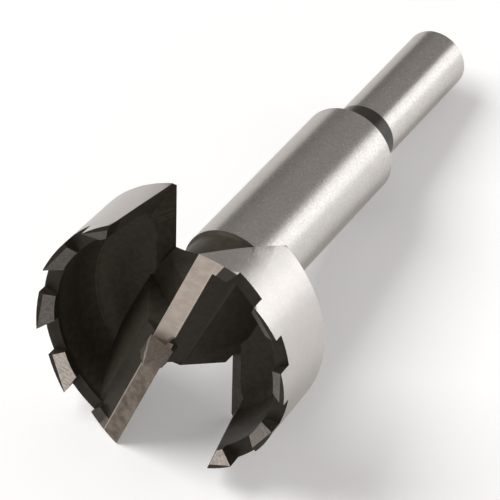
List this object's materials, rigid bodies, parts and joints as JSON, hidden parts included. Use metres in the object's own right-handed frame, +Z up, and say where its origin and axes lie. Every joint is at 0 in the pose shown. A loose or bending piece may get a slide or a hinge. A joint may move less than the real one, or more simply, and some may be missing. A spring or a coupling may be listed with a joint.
{
  "type": "forstner bit",
  "caption": "Saw-tooth forstner bit: round cutting head with raked lips, toothed rim and centre point on a plain round shank, lying on its side.",
  "frame": {"origin": "middle of the bounding box in X and Y, on the floor that the bit lies on", "axes": "+Z up, +X along the floor from the shank's end to the centre point; the bit's own axis lies in the XZ plane and rises toward the head"},
  "size_m": [0.0938, 0.0398, 0.0392],
  "materials": {
    "steel": "ground bright on the shank, collar, rim, lips and point, black oxide in the hollows, on the neck and at the shank's start"
  },
  "bodies": {
    "root": {"forstner_bit": "steel"}
  },
  "joints": []
}
